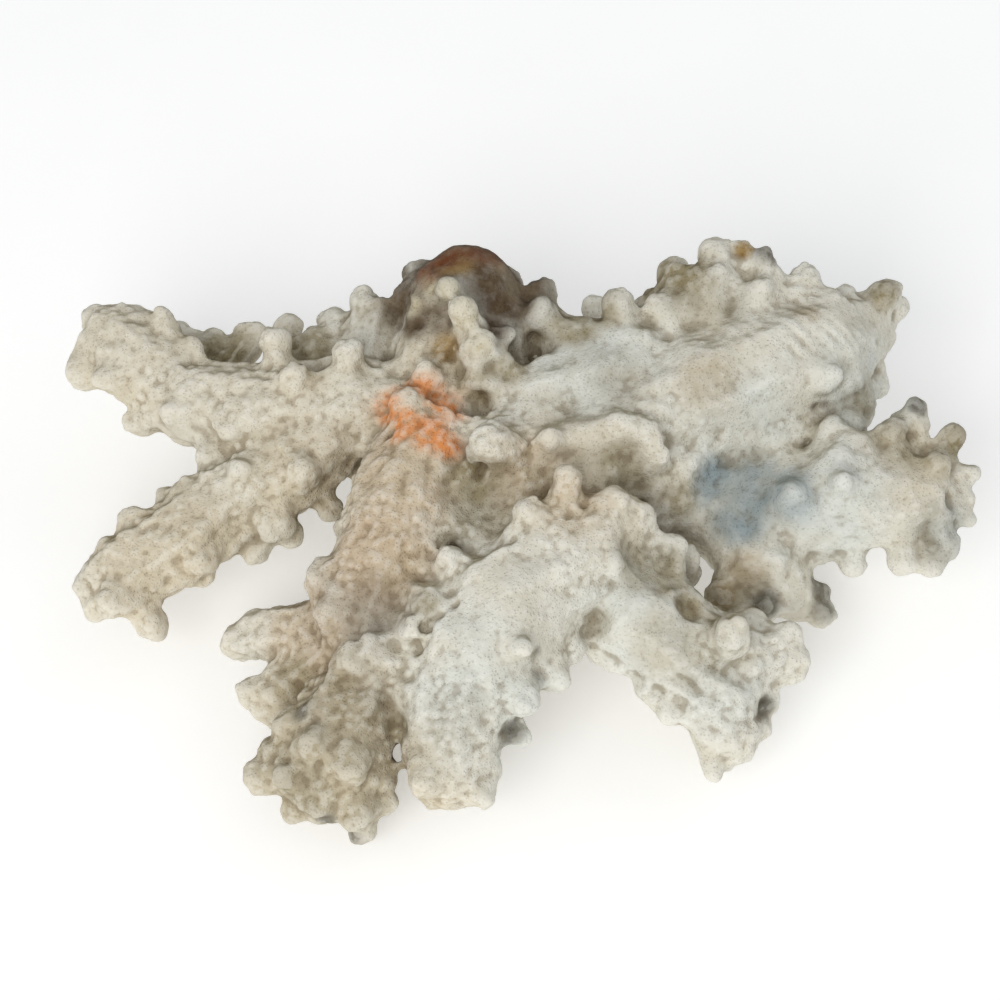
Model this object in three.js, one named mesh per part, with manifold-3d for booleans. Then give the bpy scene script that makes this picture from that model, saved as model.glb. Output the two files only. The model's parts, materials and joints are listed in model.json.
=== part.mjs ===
// Branching coral: a low, wide colony that stands on a flat-cut foot and spreads thick, knobbly branches.
// It grew as one piece and is parted at its main forks, so each branch is a closed solid of its own.
import * as THREE from 'three';
import { mergeVertices } from 'three/addons/utils/BufferGeometryUtils.js';
import Module from 'manifold-3d';

const wasm = await Module();
wasm.setup();

// Millimetres. +X is to the right, +Y to the back and +Z up. The origin is the middle of the cut face.

// Foot
const FOOT_RADIUS = 25; // of the flat face that the colony rests on
const FOOT_WAIST = 21; // narrowest, where the foot leaves the cut
const FOOT_CROWN = 26; // widest, where the foot spreads into the branches
const FOOT_HEIGHT = 33;
const FOOT_SIDES = 12;

// Branches and branchlets
const LIMB_SIDES = 8; // of a limb that starts thick
const SLIM_SIDES = 6;
const SLIM_RADIUS = 10; // a limb that starts no thicker than this has fewer sides
const BRANCHLET_SIDES = 5;
const BRANCHLET_FLARE = 1.35; // radius at the root of a branchlet over the radius at its tip
const BRANCHLET_BLUNT = 0.85; // radius of its blunt end, by the same measure
const DOME = 0.7; // sine and cosine of the ring that rounds an end, as a part of its radius

// Parting at the forks
const FORK_GAP = 0.3;
const PARTING_HEIGHT = 100; // above the tallest branchlet

// Growth, branch by branch. A limb is a chain of stations along the middle of a branch, and a branchlet
// is given by its tip. Each of them is [x, y, z, radius].
const GROWTH = {
  trunk: {
    limbs: [
      [[-18, 13, 36, 15], [0, 7, 38, 18], [18, 7, 38, 18], [35, 12, 38, 15]],
      [[0, 1, 34, 18], [15, -17, 35, 15]],
      [[-5, -1, 36, 17], [-20, -2, 38, 12]],
    ],
    branchlets: [
      [-2, 0, 56, 6.5], [7, -19, 53, 5], [27, -15, 52, 5.5], [16, -11, 57, 4.5], [19, -25, 51, 5],
      [12, 1, 58, 4], [36, 5, 55, 4.5], [29, 6, 57, 5],
    ],
  },
  left_upper_branch: {
    limbs: [
      [[-18, 15, 38, 14], [-27, 23, 40, 13], [-43, 26, 40, 13], [-62, 24, 38, 13.5], [-79, 30, 38, 11],
        [-98, 45, 40, 11.5]],
    ],
    branchlets: [
      [-105, 40, 38, 6], [-102, 42, 34, 5], [-92, 50, 43, 5], [-89, 30, 34, 6], [-79, 25, 32, 4.5],
      [-84, 53, 36, 4], [-75, 51, 35, 3.5], [-66, 50, 37, 5], [-79, 39, 46, 3.5], [-57, 36, 52, 4.3],
      [-55, 52, 38, 4], [-43, 53, 40, 4.5], [-48, 45, 42, 4.5], [-51, 25, 52, 4], [-38, 31, 54, 4],
      [-34, 52, 43, 5.5], [-31, 51, 47, 4.5], [-74, 18, 29, 3],
    ],
  },
  left_lower_branch: {
    limbs: [
      [[-41, 22, 38, 10], [-45, 14, 38, 10.5], [-54, 9, 35, 11.5], [-68, 2, 31, 11], [-81, -8, 27, 11.5],
        [-94, -16, 24, 10]],
    ],
    branchlets: [
      [-99, -21, 22, 5], [-102, -18, 24, 3.5], [-87, -26, 20, 4.7], [-75, -13, 22, 3.5],
      [-62, -6, 24, 4.2], [-54, -3, 26, 4.2], [-43, 2, 30, 3.7], [-45, 8, 34, 4], [-90, -6, 30, 4],
      [-97, -10, 28, 3.5], [-78, 3, 34, 3.5],
    ],
  },
  front_left_branch: {
    limbs: [
      [[-15, 15, 44, 13], [-22, -2, 42, 14], [-26, -18, 38, 14], [-32, -33, 33, 14]],
      [[-32, -31, 30, 10], [-44, -34, 26, 8.5], [-60, -32, 22, 6]],
      [[-35, -37, 28, 10], [-46, -42, 22, 9], [-54, -47, 18, 7.5]],
    ],
    branchlets: [
      [-38, -8, 34, 3.3], [-41, -21, 32, 3.5], [-33, 0, 42, 4], [-63, -33, 22, 4.8], [-58, -48, 18, 4],
      [-55, -51, 16, 4.2], [-17, -38, 46, 4.7], [-21, -45, 44, 4],
    ],
  },
  front_tip_branch: {
    limbs: [
      [[-31, -38, 32, 8], [-30, -46, 31, 12], [-35, -55, 27, 12], [-38, -64, 23, 13], [-41, -72, 19, 10.5]],
      [[-41, -67, 22, 10], [-31, -70, 20, 7]],
    ],
    branchlets: [
      [-52, -67, 21, 6.2], [-56, -71, 19, 4.5], [-49, -76, 12, 3.3], [-41, -76, 12, 3], [-33, -79, 10, 3.8],
      [-28, -75, 15, 3.5], [-29, -68, 20, 4.5], [-24, -61, 26, 3.7], [-35, -51, 40, 4.5], [-27, -51, 38, 4],
    ],
  },
  front_middle_branch: {
    limbs: [
      [[15, -17, 38, 15], [15, -26, 42, 15], [2, -37, 40, 16], [-6, -49, 35, 15], [-11, -61, 29, 13],
        [-12, -70, 23, 10.5]],
      [[2, -37, 40, 12], [-11, -31, 39, 9]],
    ],
    branchlets: [
      [-16, -46, 40, 4.5], [-21, -57, 34, 4.5], [-18, -50, 38, 5], [-15, -75, 20, 4.3], [-19, -73, 22, 3],
      [-8, -75, 20, 3.5], [-3, -71, 24, 3.7], [3, -63, 26, 3.2], [1, -56, 30, 5], [8, -49, 28, 3.3],
      [10, -44, 30, 3], [16, -42, 33, 5], [-12, -28, 48, 4.5], [5, -54, 50, 3],
    ],
  },
  front_right_branch: {
    limbs: [
      [[20, -12, 38, 13], [27, -22, 38, 12], [34, -33, 34, 13.5], [46, -42, 29, 12], [53, -52, 23, 10.5],
        [55, -58, 18, 8.5]],
      [[46, -39, 30, 10], [58, -42, 28, 8.5], [69, -41, 26, 6.5]],
      [[32, -16, 32, 9], [44, -16, 28, 5.5]],
    ],
    branchlets: [
      [25, -40, 28, 3.5], [30, -43, 27, 3.5], [36, -49, 25, 3.5], [39, -51, 24, 3], [53, -61, 14, 3.7],
      [59, -56, 16, 3.9], [63, -56, 17, 3], [65, -51, 20, 3], [62, -48, 24, 3.7], [71, -44, 24, 3],
      [72, -42, 27, 3], [70, -38, 30, 3], [55, -46, 44, 4.5], [27.5, -29, 48, 4.5], [40, -34, 42, 4.5],
    ],
  },
  right_branch: {
    limbs: [
      [[35, 4, 34, 12], [55, 4, 30, 12], [75, 1, 32, 13], [90, 2, 34, 14], [103, -1, 36, 11.5]],
    ],
    branchlets: [
      [105, 21, 44, 3.2], [102, 17, 42, 5.4], [113, 13, 42, 3.6], [117, 6, 38, 3], [115, 0, 36, 3],
      [116, -5, 34, 2.6], [110, -11, 32, 4.5], [107, -16, 30, 3], [100, -14, 30, 3.8], [88, -12, 26, 3.6],
      [80, -9, 26, 3], [108, 3, 44, 4], [98, 12, 44, 6], [88, 8, 43, 6.5], [84, -5, 50, 3.5],
    ],
  },
  right_lower_branch: {
    limbs: [
      [[57, 2, 30, 11], [59, -4, 28, 10.5], [65, -11, 25, 10.5], [71, -16, 21, 8]],
    ],
    branchlets: [
      [80, -16, 18, 3.2], [80, -21, 16, 3.7], [73, -20, 18, 4], [57, -17, 24, 4.5], [66, -23, 21, 4.5],
      [59, -22, 22, 4.5], [55.5, -21, 25, 3.6],
    ],
  },
  right_upper_branch: {
    limbs: [
      [[24, 12, 42, 14], [35, 18, 44, 13], [50, 25, 46, 15], [66, 31, 47, 16], [82, 39, 46, 15],
        [92, 47, 44, 9.5]],
      [[48, 14, 40, 9.5], [68, 20, 38, 10.5], [87, 30, 38, 9.5]],
    ],
    branchlets: [
      [102, 55, 44, 3.6], [99, 49, 42, 3.9], [96, 41, 38, 3.2], [97, 35, 36, 3], [98, 54, 50, 4.5],
      [89, 53, 50, 3.5], [78, 53, 56, 4.8], [71, 56, 52, 2.4], [67, 56, 62, 3.5], [62, 59, 60, 3],
      [55, 59, 60, 4.5], [50, 51, 58, 5.5], [45, 59, 52, 5], [40, 52, 49, 4.6], [41, 44, 56, 4.4],
      [88, 20, 40, 4.3], [47, 5, 42, 4.5],
    ],
  },
  back_branch: {
    limbs: [
      [[8, 8, 40, 14], [8, 22, 44, 13], [23, 25, 46, 13.5], [35, 29, 47, 12]],
    ],
    branchlets: [
      [11, 51, 54, 4.2], [18, 43, 49, 5], [21, 39, 53, 4.5], [25, 53, 46, 3.5], [30, 43, 58, 4.4],
    ],
  },
  back_knob: {
    limbs: [
      [[-16, 10, 38, 14], [-15, 25, 42, 13], [-14, 41, 46, 13], [-9, 52, 51, 15]],
      [[-8, 30, 46, 12], [1, 46, 48, 10]],
    ],
    branchlets: [
      [-20, 56, 52, 5.4], [-20, 61, 50, 4.5], [0, 58, 49, 6], [1, 48, 49, 5], [-5, 28, 62, 4.4],
      [-9, 35, 66, 4.5], [-13, 44, 64, 3.2], [-18, 50, 58, 3], [-20, 45, 57, 3],
    ],
  },
};

// Where each branch is parted from the rest, in the order of parting: the outline, seen from above and
// anticlockwise, of what comes away. An outline runs on past the branch's tips, or over parts that are
// already parted.
const PARTINGS = {
  back_knob: [[-26, 28], [0, 28], [6, 34], [6, 90], [-26, 90]],
  back_branch: [[0, 20], [38, 20], [36, 34], [35, 90], [0, 90]],
  right_lower_branch: [[48, -8], [50.5, -13], [52, -29], [84, -29], [84, -12.5], [76, -12.5]],
  right_upper_branch: [[38, 8], [62, 10], [92, 15], [97, 26], [140, 30], [140, 90], [30, 90], [30, 40],
    [38, 20]],
  right_branch: [[44, -8], [52, -9], [84, -28], [140, -28], [140, 40], [44, 40]],
  front_right_branch: [[21, -32], [21, -50], [24, -95], [140, -95], [140, -28], [60, -8], [44, -8]],
  front_middle_branch: [[-11, -20], [-15, -24], [-12, -34], [-16, -41], [-24, -48], [-26, -56], [-26, -61],
    [-23, -64], [-23, -95], [24, -95], [21, -50], [21, -32]],
  front_tip_branch: [[-10, -48], [-40, -48], [-47, -52], [-50, -58], [-75, -58], [-75, -95], [-10, -95]],
  front_left_branch: [[-38, 3], [-42, -8], [-50, -16], [-75, -22], [-75, -60], [-11, -60], [-11, -20],
    [-10, -6], [-20, 2]],
  left_lower_branch: [[-26, 12], [-48, 14.5], [-70, 13.5], [-80, 14], [-130, 20], [-130, -60], [-42, -60],
    [-38, 3], [-33, 9]],
  left_upper_branch: [[-26, 12], [-26, 90], [-130, 90], [-130, 0], [-48, 10], [-33, 9]],
};

const SKELETON = { white: 0xd6d4c6, cream: 0xcdbfa2, stained: 0x5e4a30 };
const TINT = {
  front_left_branch: 'cream',
  front_tip_branch: 'cream',
  left_upper_branch: 'cream',
  left_lower_branch: 'cream',
  back_knob: 'stained',
};

// A closed geometry as a solid that can be joined and cut.
function toSolid(geometry) {
  geometry.deleteAttribute('normal');
  geometry.deleteAttribute('uv');
  const merged = mergeVertices(geometry);
  return new wasm.Manifold(new wasm.Mesh({
    numProp: 3,
    vertProperties: new Float32Array(merged.attributes.position.array),
    triVerts: new Uint32Array(merged.index.array),
  }));
}

// A joined or cut solid as a named mesh with its own material.
function toMesh(name, solid) {
  const { vertProperties, triVerts } = solid.getMesh();
  const geometry = new THREE.BufferGeometry();
  geometry.setAttribute('position', new THREE.BufferAttribute(new Float32Array(vertProperties), 3));
  geometry.setIndex(new THREE.BufferAttribute(new Uint32Array(triVerts), 1));
  geometry.computeVertexNormals();
  const material = new THREE.MeshStandardMaterial({
    color: SKELETON[TINT[name] ?? 'white'],
    roughness: 0.9,
    metalness: 0,
  });
  const mesh = new THREE.Mesh(geometry, material);
  mesh.name = name;
  return mesh;
}

const point = (station) => new THREE.Vector3(station[0], station[1], station[2]);

// Lays a geometry turned about +Y along a chain of stations, from its first station to past its last.
function layAlong(geometry, stations, distances) {
  const last = stations.length - 1;
  const chords = [];
  for (let i = 0; i < last; i += 1) {
    chords.push(point(stations[i + 1]).sub(point(stations[i])).normalize());
  }
  const headings = stations.map((_, i) => {
    const before = chords[Math.max(i - 1, 0)];
    const after = chords[Math.min(i, last - 1)];
    return before.clone().add(after).normalize();
  });
  const place = geometry.attributes.position;
  const turn = new THREE.Quaternion();
  const vertex = new THREE.Vector3();
  for (let v = 0; v < place.count; v += 1) {
    vertex.fromBufferAttribute(place, v);
    let i = 0;
    while (i < last && vertex.y > distances[i] + 0.001) {
      i += 1;
    }
    vertex.y -= distances[i];
    turn.setFromUnitVectors(new THREE.Vector3(0, 1, 0), headings[i]);
    vertex.applyQuaternion(turn).add(point(stations[i]));
    place.setXYZ(v, vertex.x, vertex.y, vertex.z);
  }
  return geometry;
}

// A tapered, round-ended length of skeleton through a chain of stations.
function limb(stations) {
  const distances = [0];
  for (let i = 1; i < stations.length; i += 1) {
    distances.push(distances[i - 1] + point(stations[i]).distanceTo(point(stations[i - 1])));
  }
  const length = distances.at(-1);
  const radius = stations.at(-1)[3];
  const profile = [
    new THREE.Vector2(0, 0),
    ...stations.map((station, i) => new THREE.Vector2(station[3], distances[i])),
    new THREE.Vector2(DOME * radius, length + DOME * radius),
    new THREE.Vector2(0, length + radius),
  ];
  const sides = stations[0][3] > SLIM_RADIUS ? LIMB_SIDES : SLIM_SIDES;
  const geometry = new THREE.LatheGeometry(profile, sides);
  return toSolid(layAlong(geometry, stations, distances));
}

// A blunt finger that tapers from its root to its tip.
function branchlet(root, tip) {
  const length = point(root).distanceTo(point(tip));
  const radius = tip[3];
  const profile = [
    new THREE.Vector2(0, 0),
    new THREE.Vector2(BRANCHLET_FLARE * radius, 0),
    new THREE.Vector2(BRANCHLET_BLUNT * radius, length + 0.5 * radius),
    new THREE.Vector2(0, length + radius),
  ];
  const geometry = new THREE.LatheGeometry(profile, BRANCHLET_SIDES);
  return toSolid(layAlong(geometry, [root, tip], [0, length]));
}

// The point on a branch's limbs that is nearest to a branchlet's tip: the branchlet grows from there.
function rootOf(limbs, tip) {
  const root = new THREE.Vector3();
  const candidate = new THREE.Vector3();
  let nearest = Infinity;
  for (const stations of limbs) {
    for (let i = 1; i < stations.length; i += 1) {
      const line = new THREE.Line3(point(stations[i - 1]), point(stations[i]));
      line.closestPointToPoint(point(tip), true, candidate);
      const distance = candidate.distanceTo(point(tip));
      if (distance < nearest) {
        nearest = distance;
        root.copy(candidate);
      }
    }
  }
  return root.toArray();
}

const join = (solids) => solids.reduce((whole, solid) => whole.add(solid));

function branch({ limbs, branchlets }) {
  const fingers = branchlets.map((tip) => branchlet(rootOf(limbs, tip), tip));
  return join([...limbs.map(limb), ...fingers]);
}

// The foot is turned about +Z, from the flat cut up into the middle of the colony. gap makes it wider.
function foot(gap) {
  const profile = [
    new THREE.Vector2(0, 0),
    new THREE.Vector2(FOOT_RADIUS + gap, 0),
    new THREE.Vector2(FOOT_RADIUS + gap, 0.06 * FOOT_HEIGHT),
    new THREE.Vector2(FOOT_WAIST + gap, 0.45 * FOOT_HEIGHT),
    new THREE.Vector2(FOOT_CROWN + gap, FOOT_HEIGHT),
    new THREE.Vector2(0, FOOT_HEIGHT + 0.3 * FOOT_CROWN),
  ];
  const geometry = new THREE.LatheGeometry(profile, FOOT_SIDES);
  geometry.rotateX(Math.PI / 2);
  return toSolid(geometry);
}

// An outline with each of its sides moved outwards by a distance.
function grow(outline, distance) {
  const corners = outline.map(([x, y]) => new THREE.Vector2(x, y));
  const outward = corners.map((corner, i) => {
    const side = corners[(i + 1) % corners.length].clone().sub(corner).normalize();
    return new THREE.Vector2(side.y, -side.x);
  });
  return corners.map((corner, i) => {
    const before = outward[(i + corners.length - 1) % corners.length];
    const after = outward[i];
    const reach = distance / (1 + before.dot(after));
    return corner.clone().addScaledVector(before, reach).addScaledVector(after, reach);
  });
}

// The upright block that an outline cuts through the whole height of the colony.
function block(outline) {
  const geometry = new THREE.ExtrudeGeometry(new THREE.Shape(outline), {
    depth: PARTING_HEIGHT,
    bevelEnabled: false,
  });
  return toSolid(geometry);
}

const coral = new THREE.Group();
let rest = join(Object.values(GROWTH).map(branch));
for (const [name, outline] of Object.entries(PARTINGS)) {
  coral.add(toMesh(name, rest.intersect(block(grow(outline, 0))).subtract(foot(FORK_GAP))));
  rest = rest.subtract(block(grow(outline, FORK_GAP)));
}
coral.add(toMesh('trunk', rest.add(foot(0))));

export default coral;
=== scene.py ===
"""Branching coral: the skeleton's surface, stains and studio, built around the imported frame."""
import itertools
import json
import math

import bmesh
import bpy
import numpy as np
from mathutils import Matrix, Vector, kdtree, noise
from mathutils.bvhtree import BVHTree


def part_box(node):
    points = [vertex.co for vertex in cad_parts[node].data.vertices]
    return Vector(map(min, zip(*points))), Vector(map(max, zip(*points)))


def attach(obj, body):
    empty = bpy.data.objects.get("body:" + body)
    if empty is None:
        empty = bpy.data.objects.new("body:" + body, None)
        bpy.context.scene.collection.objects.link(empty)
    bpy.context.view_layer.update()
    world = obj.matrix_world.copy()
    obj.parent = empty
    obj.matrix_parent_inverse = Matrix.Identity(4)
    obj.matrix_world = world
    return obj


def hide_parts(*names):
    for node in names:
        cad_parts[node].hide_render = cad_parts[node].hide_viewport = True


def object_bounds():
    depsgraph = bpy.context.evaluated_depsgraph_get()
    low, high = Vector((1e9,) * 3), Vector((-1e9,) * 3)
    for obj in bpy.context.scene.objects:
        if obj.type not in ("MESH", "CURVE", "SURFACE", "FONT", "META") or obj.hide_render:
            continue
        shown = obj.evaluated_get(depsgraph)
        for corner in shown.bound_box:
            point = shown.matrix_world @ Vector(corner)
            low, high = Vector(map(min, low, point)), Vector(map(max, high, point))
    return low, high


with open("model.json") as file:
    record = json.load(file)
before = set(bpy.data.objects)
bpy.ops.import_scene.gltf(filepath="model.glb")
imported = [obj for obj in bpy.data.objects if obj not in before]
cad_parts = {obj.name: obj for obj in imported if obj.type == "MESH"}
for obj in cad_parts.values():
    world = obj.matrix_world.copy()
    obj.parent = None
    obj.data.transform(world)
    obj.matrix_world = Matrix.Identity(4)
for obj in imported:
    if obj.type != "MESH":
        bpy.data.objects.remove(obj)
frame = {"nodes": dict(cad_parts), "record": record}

CAD_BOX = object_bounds()
NODES = sorted(frame["nodes"])
MM = 0.001
SEED = 317
VOXEL = 0.6 * MM
GROW_BACK = 0.52  # share that a smoothing pass gives back to keep the size, a little over the 0.5 it takes


# ---------------------------------------------------------------- mesh arrays

def mesh_arrays(mesh):
    """A mesh's corners, and its faces as lists of corner numbers."""
    co = np.empty(len(mesh.vertices) * 3)
    mesh.vertices.foreach_get("co", co)
    return co.reshape(-1, 3), [list(p.vertices) for p in mesh.polygons]


def new_mesh(name, co, faces):
    """A mesh from arrays or lists of corners and faces."""
    mesh = bpy.data.meshes.new(name)
    mesh.from_pydata([tuple(v) for v in co], [], faces)
    mesh.update()
    return mesh


def new_object(name, data):
    """An object in the scene for a mesh, a light or a camera."""
    obj = bpy.data.objects.new(name, data)
    bpy.context.scene.collection.objects.link(obj)
    return obj


def vertex_normals(co, faces):
    """The smooth outward direction at each corner."""
    mesh = new_mesh("scratch", co, faces)
    normals = np.empty(len(mesh.vertices) * 3, np.float32)
    mesh.vertex_normals.foreach_get("vector", normals)
    bpy.data.meshes.remove(mesh)
    return normals.reshape(-1, 3).astype(float)


def edge_array(faces):
    """Each edge of some quads once, as two corner numbers."""
    quads = np.array(faces)
    sides = np.concatenate([quads[:, [k, (k + 1) % 4]] for k in range(4)])
    return sides[sides[:, 0] < sides[:, 1]]


def neighbour_mean(values, edges):
    """Each corner's mean over its neighbours along the edges."""
    a, b = edges[:, 0], edges[:, 1]
    total = len(values)
    count = np.maximum(np.bincount(a, minlength=total) + np.bincount(b, minlength=total), 1)
    columns = values.reshape(total, -1).T
    mean = [(np.bincount(a, c[b], total) + np.bincount(b, c[a], total)) / count for c in columns]
    return np.stack(mean, 1).reshape(values.shape)


def relax(values, edges, reach, keep_size=False):
    """A surface or a mask smoothed over a reach in mm; keep_size undoes the shrinking after each pass."""
    values = values.copy()
    passes = round(4 * (reach * MM / VOXEL) ** 2)
    for _ in range(passes):
        values += 0.5 * (neighbour_mean(values, edges) - values)
        if keep_size:
            values -= GROW_BACK * (neighbour_mean(values, edges) - values)
    return values


def smoothstep(x):
    """0 up to 0, 1 from 1, and a smooth rise between."""
    x = np.clip(x, 0, 1)
    return x * x * (3 - 2 * x)


def nearest(points, targets, few):
    """For each target, the numbers of the nearest few points, and their distances."""
    tree = kdtree.KDTree(len(points))
    for i, p in enumerate(points):
        tree.insert(p, i)
    tree.balance()
    found = np.array([[hit[1:] for hit in tree.find_n(t, few)] for t in targets])
    return found[:, :, 0].astype(int), found[:, :, 1]


def spread_points(co, gap, rng):
    """Corner numbers at least a gap apart, all over the surface."""
    small_cell = np.floor(co / (0.4 * gap)).astype(int)
    order = rng.permutation(len(co))
    candidates = order[np.unique(small_cell[order], axis=0, return_index=True)[1]]
    rng.shuffle(candidates)
    cell = np.floor(co / gap).astype(int)
    taken = {}
    chosen = []
    for i in candidates:
        around = itertools.product(*((c - 1, c, c + 1) for c in cell[i]))
        near = [j for key in around for j in taken.get(key, ())]
        if not near or ((co[near] - co[i]) ** 2).sum(1).min() > gap * gap:
            taken.setdefault(tuple(cell[i]), []).append(i)
            chosen.append(i)
    return np.array(chosen)


# ---------------------------------------------------------------- places on the colony

BOX = {name: np.array(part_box(name)) for name in NODES}
MARK_REACH = 1.35  # in radii of the mark: it has faded out this far from its middle
MARK_FADE = 0.9  # in radii of the mark: the width of the band where it fades


def place(node, share):
    """The point at some shares of a branch's width, depth and height."""
    low, high = BOX[node]
    return low + np.array(share) * (high - low)


def marked(co, marks):
    """How strongly each point lies in some soft round marks."""
    mask = np.zeros(len(co))
    for node, share, radius, strength in marks:
        away = np.linalg.norm(co - place(node, share), axis=1) / (radius * MM)
        mask = np.maximum(mask, strength * smoothstep((MARK_REACH - away) / MARK_FADE))
    return mask


def wobble(co, size, shift=0.0):
    """Smooth noise between about -1 and 1, with lumps of about the given size; a shift gives other lumps."""
    return np.array([noise.noise(Vector(p)) for p in (co + shift) / size])


# ---------------------------------------------------------------- marks on the branches
# Each is a branch, shares of that branch's width, depth and height, a radius in mm, and a strength up to 1.
# FILLED and HOLLOWS say what differs.

SMOOTH = [  # where the knobs and bumps are few
    ("back_knob", (0.45, 0.9, 0.85), 13, 1.0),
    ("back_knob", (0.75, 0.9, 0.8), 12, 1.0),
    ("left_upper_branch", (0.0, 0.5, 0.5), 12, 1.0),
    ("back_branch", (0.5, 0.2, 0.9), 22, 1.0),
    ("right_upper_branch", (0.3, 0.4, 0.8), 26, 0.8),
    ("right_upper_branch", (0.75, 0.4, 0.7), 24, 0.7),
    ("right_branch", (0.35, 0.4, 0.7), 22, 0.9),
    ("right_branch", (0.75, 0.3, 0.7), 22, 0.6),
    ("right_lower_branch", (0.5, 0.3, 0.5), 14, 0.6),
    ("front_right_branch", (0.25, 0.5, 0.8), 18, 1.0),
    ("right_upper_branch", (0.5, 0.5, 0.85), 13, 1.0),
    ("right_upper_branch", (0.7, 0.45, 0.8), 13, 1.0),
    ("front_middle_branch", (0.6, 0.6, 0.9), 18, 1.0),
    ("trunk", (0.4, 0.35, 0.8), 9, 1.0),
    ("trunk", (0.7, 0.6, 0.85), 16, 0.8),
    ("front_left_branch", (0.65, 0.27, 0.8), 8, 1.0),
    ("left_upper_branch", (0.5, 0.65, 0.6), 9, 0.9),
    ("left_upper_branch", (0.75, 0.5, 0.7), 7, 0.9),
    ("back_knob", (0.85, 0.5, 0.75), 14, 1.0),
    ("back_knob", (0.5, 0.65, 0.95), 11, 0.9),
]
MELTED = [  # where the knobs have run together into soft swellings
    ("trunk", (0.38, 0.28, 0.68), 12, 0.9),
    ("trunk", (0.62, 0.18, 0.78), 14, 0.9),
    ("front_right_branch", (0.3, 0.78, 0.8), 11, 0.8),
    ("right_upper_branch", (0.25, 0.62, 0.82), 11, 0.6),
    ("right_upper_branch", (0.6, 0.62, 0.8), 10, 0.5),
    ("back_branch", (0.5, 0.4, 0.8), 9, 0.6),
    ("back_branch", (0.88, 0.3, 0.85), 9, 0.6),
    ("trunk", (0.8, 0.7, 0.85), 14, 1.0),
    ("trunk", (0.55, 0.65, 0.85), 12, 1.0),
    ("trunk", (0.7, 0.35, 0.85), 14, 0.8),
    ("front_middle_branch", (0.7, 0.6, 0.9), 14, 0.9),
    ("back_branch", (0.6, 0.2, 0.9), 12, 0.8),
    ("right_branch", (0.45, 0.4, 0.8), 18, 0.8),
    ("back_knob", (0.8, 0.6, 0.8), 13, 0.9),
]
RIDGED = [  # where narrow parallel ridges cross the back right lobe
    ("right_upper_branch", (0.62, 0.45, 0.85), 12, 1.0),
    ("right_upper_branch", (0.78, 0.4, 0.75), 11, 0.9),
    ("right_upper_branch", (0.35, 0.5, 0.85), 9, 0.5),
]
FILLED = [  # balls that make valleys and pits shallower, with a radius in mm and no strength
    ("trunk", (0.35, 0.28, 0.66), 6),
    ("trunk", (0.38, 0.23, 0.64), 6),
    ("trunk", (0.5, 0.17, 0.76), 5),
    ("trunk", (0.62, 0.22, 0.77), 5.5),
    ("trunk", (0.74, 0.15, 0.76), 5.5),
    ("front_right_branch", (0.24, 0.83, 0.84), 4),
    ("front_right_branch", (0.37, 0.74, 0.73), 4.5),
    ("front_right_branch", (0.46, 0.86, 0.56), 3.5),
    ("right_lower_branch", (0.47, 0.1, 0.53), 2.4),
    ("left_lower_branch", (0.91, 0.94, 0.73), 3.5),
    ("left_lower_branch", (0.89, 0.95, 0.43), 3.2),
    ("trunk", (0.84, 0.45, 0.43), 4),
    ("front_left_branch", (0.76, 0.15, 0.6), 3.5),
    ("front_left_branch", (0.88, 0.32, 0.46), 3.5),
    ("trunk", (0.44, 0.97, 0.85), 4.5),
    ("trunk", (0.4, 0.91, 0.79), 6),
    ("right_upper_branch", (0.68, 0.15, 0.3), 5),
    ("back_branch", (0.89, 0.62, 0.64), 3.5),
    ("back_branch", (0.25, 0.46, 0.46), 4),
    ("right_upper_branch", (0.03, 0.7, 0.68), 5),
    ("right_upper_branch", (0.08, 0.76, 0.76), 3.4),
    ("right_upper_branch", (0.17, 0.66, 0.81), 3.4),
    ("right_upper_branch", (0.25, 0.68, 0.84), 3.4),
    ("right_upper_branch", (0.37, 0.7, 0.83), 3.4),
    ("right_upper_branch", (0.48, 0.7, 0.84), 3.4),
    ("right_upper_branch", (0.58, 0.71, 0.81), 3.4),
    ("right_upper_branch", (0.69, 0.7, 0.8), 3.4),
    ("back_branch", (0.3, 0.64, 0.79), 4),
    ("back_branch", (0.44, 0.48, 0.77), 4),
    ("back_branch", (0.57, 0.47, 0.8), 4),
    ("back_branch", (0.7, 0.42, 0.82), 4),
    ("back_branch", (0.83, 0.36, 0.85), 4),
    ("back_branch", (0.95, 0.36, 0.83), 4.5),
]
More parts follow.
